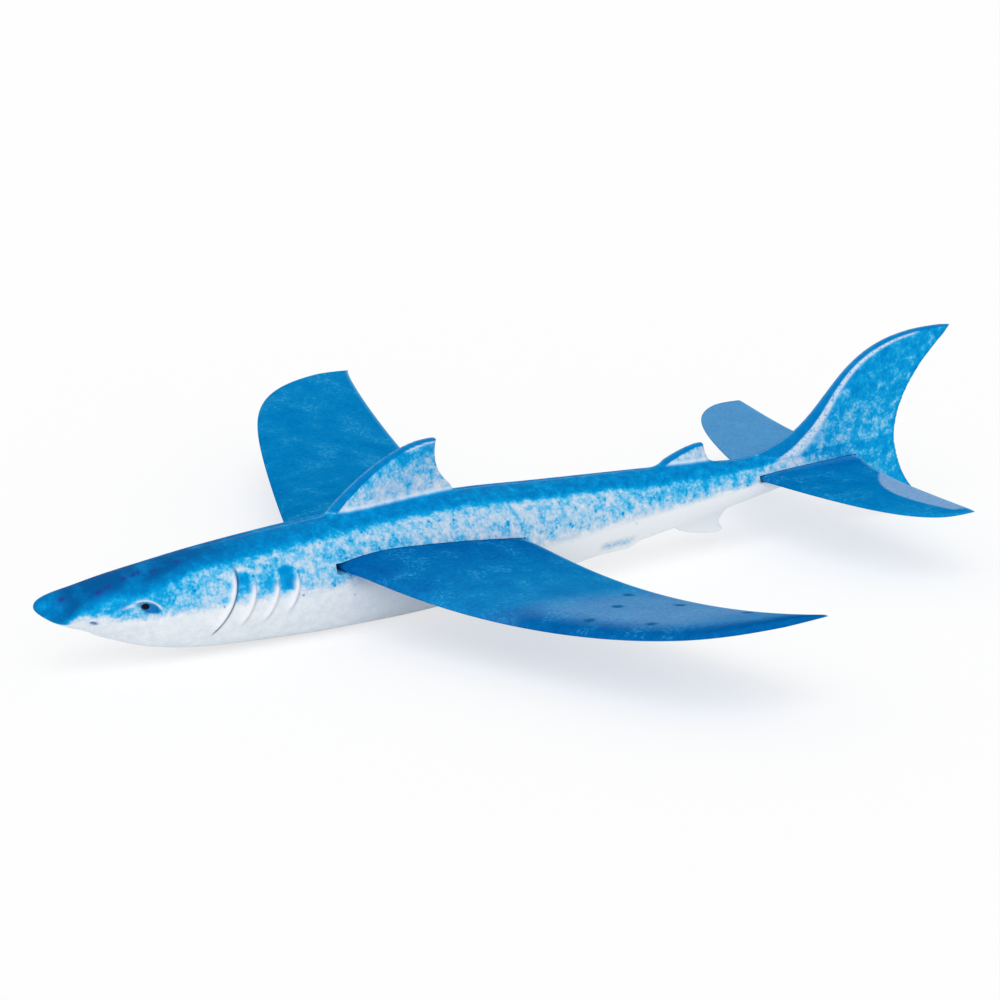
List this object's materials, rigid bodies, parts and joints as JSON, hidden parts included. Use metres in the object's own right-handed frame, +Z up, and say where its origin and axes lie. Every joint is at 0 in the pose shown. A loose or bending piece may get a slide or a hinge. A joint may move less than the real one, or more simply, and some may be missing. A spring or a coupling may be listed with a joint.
{
  "type": "hand glider",
  "caption": "Hand-launched glider of moulded foam with a shark-form fuselage, a swept one-piece wing, a one-piece tailplane and moulded fins.",
  "frame": {"origin": "on the plane of symmetry, level with the flat of the belly, half-way between the tip of the nose and the tip of the tail fin", "axes": "+X aft along the fuselage, +Y to the right wing tip, +Z up"},
  "size_m": [0.478, 0.415, 0.0896],
  "materials": {
    "printed_foam": "moulded expanded foam, printed blue on the back and fading to pale grey on the belly, low sheen",
    "blue_foam": "pressed foam sheet, mid blue with fine mottling, low sheen",
    "steel": "plain turned steel"
  },
  "bodies": {
    "fuselage": {"fuselage_left_half": "printed_foam", "fuselage_right_half": "printed_foam", "nose_weight": "steel"},
    "wing": {"main_wing": "blue_foam"},
    "tail": {"tailplane": "blue_foam"}
  },
  "joints": [
    {"name": "wing_shift", "type": "slide", "parent": "fuselage", "child": "wing", "axis": [0, 1, 0], "range_m": [-0.003, 0.003]},
    {"name": "tailplane_shift", "type": "slide", "parent": "fuselage", "child": "tail", "axis": [0, 1, 0], "range_m": [-0.002, 0.002]}
  ]
}
